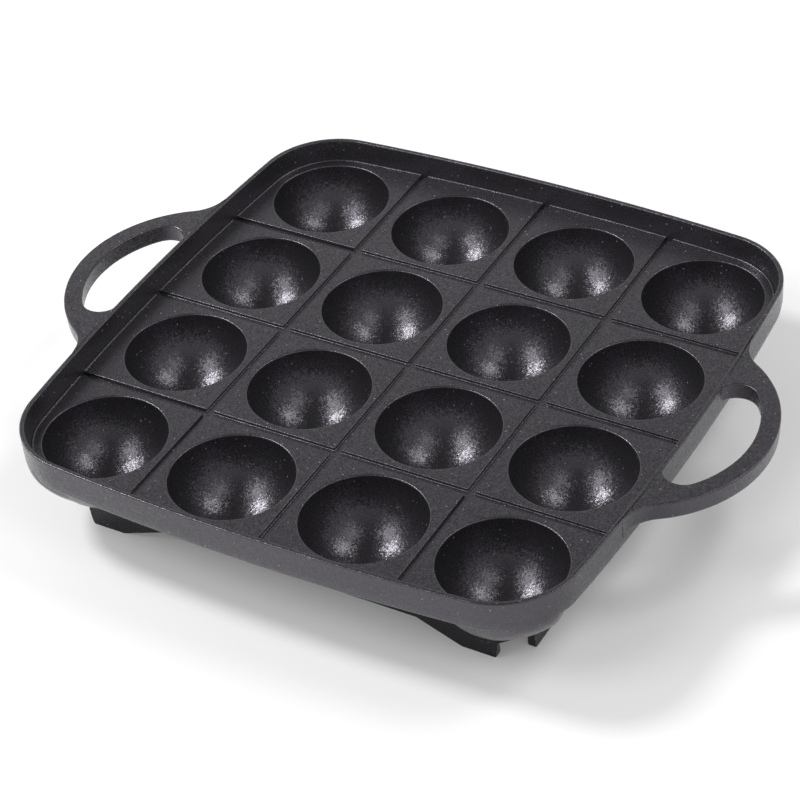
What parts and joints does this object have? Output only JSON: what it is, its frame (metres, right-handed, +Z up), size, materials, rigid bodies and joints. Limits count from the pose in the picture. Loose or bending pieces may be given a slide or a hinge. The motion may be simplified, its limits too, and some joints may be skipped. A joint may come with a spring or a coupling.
{
  "type": "takoyaki maker",
  "caption": "Square cast pan with hemispherical cups in a grid, a low tray wall, two loop handles and a skirt with feet, for cooking batter balls over a burner.",
  "frame": {"origin": "under the middle of the pan, on the plane that the feet stand on", "axes": "+X from the left handle to the right handle, -Y the front, +Z up out of the cups"},
  "size_m": [0.2622, 0.2098, 0.0383],
  "materials": {
    "coated_casting": "satin charcoal non-stick coating with fine pale flecks"
  },
  "bodies": {
    "root": {"deck": "coated_casting", "rim_wall": "coated_casting", "handle_left": "coated_casting", "handle_right": "coated_casting", "cup_1_1": "coated_casting", "cup_1_2": "coated_casting", "cup_1_3": "coated_casting", "cup_1_4": "coated_casting", "cup_2_1": "coated_casting", "cup_2_2": "coated_casting", "cup_2_3": "coated_casting", "cup_2_4": "coated_casting", "cup_3_1": "coated_casting", "cup_3_2": "coated_casting", "cup_3_3": "coated_casting", "cup_3_4": "coated_casting", "cup_4_1": "coated_casting", "cup_4_2": "coated_casting", "cup_4_3": "coated_casting", "cup_4_4": "coated_casting", "skirt_front": "coated_casting", "skirt_back": "coated_casting", "skirt_left": "coated_casting", "skirt_right": "coated_casting", "skirt_corner_fl": "coated_casting", "skirt_corner_fr": "coated_casting", "skirt_corner_bl": "coated_casting", "skirt_corner_br": "coated_casting"}
  },
  "joints": []
}
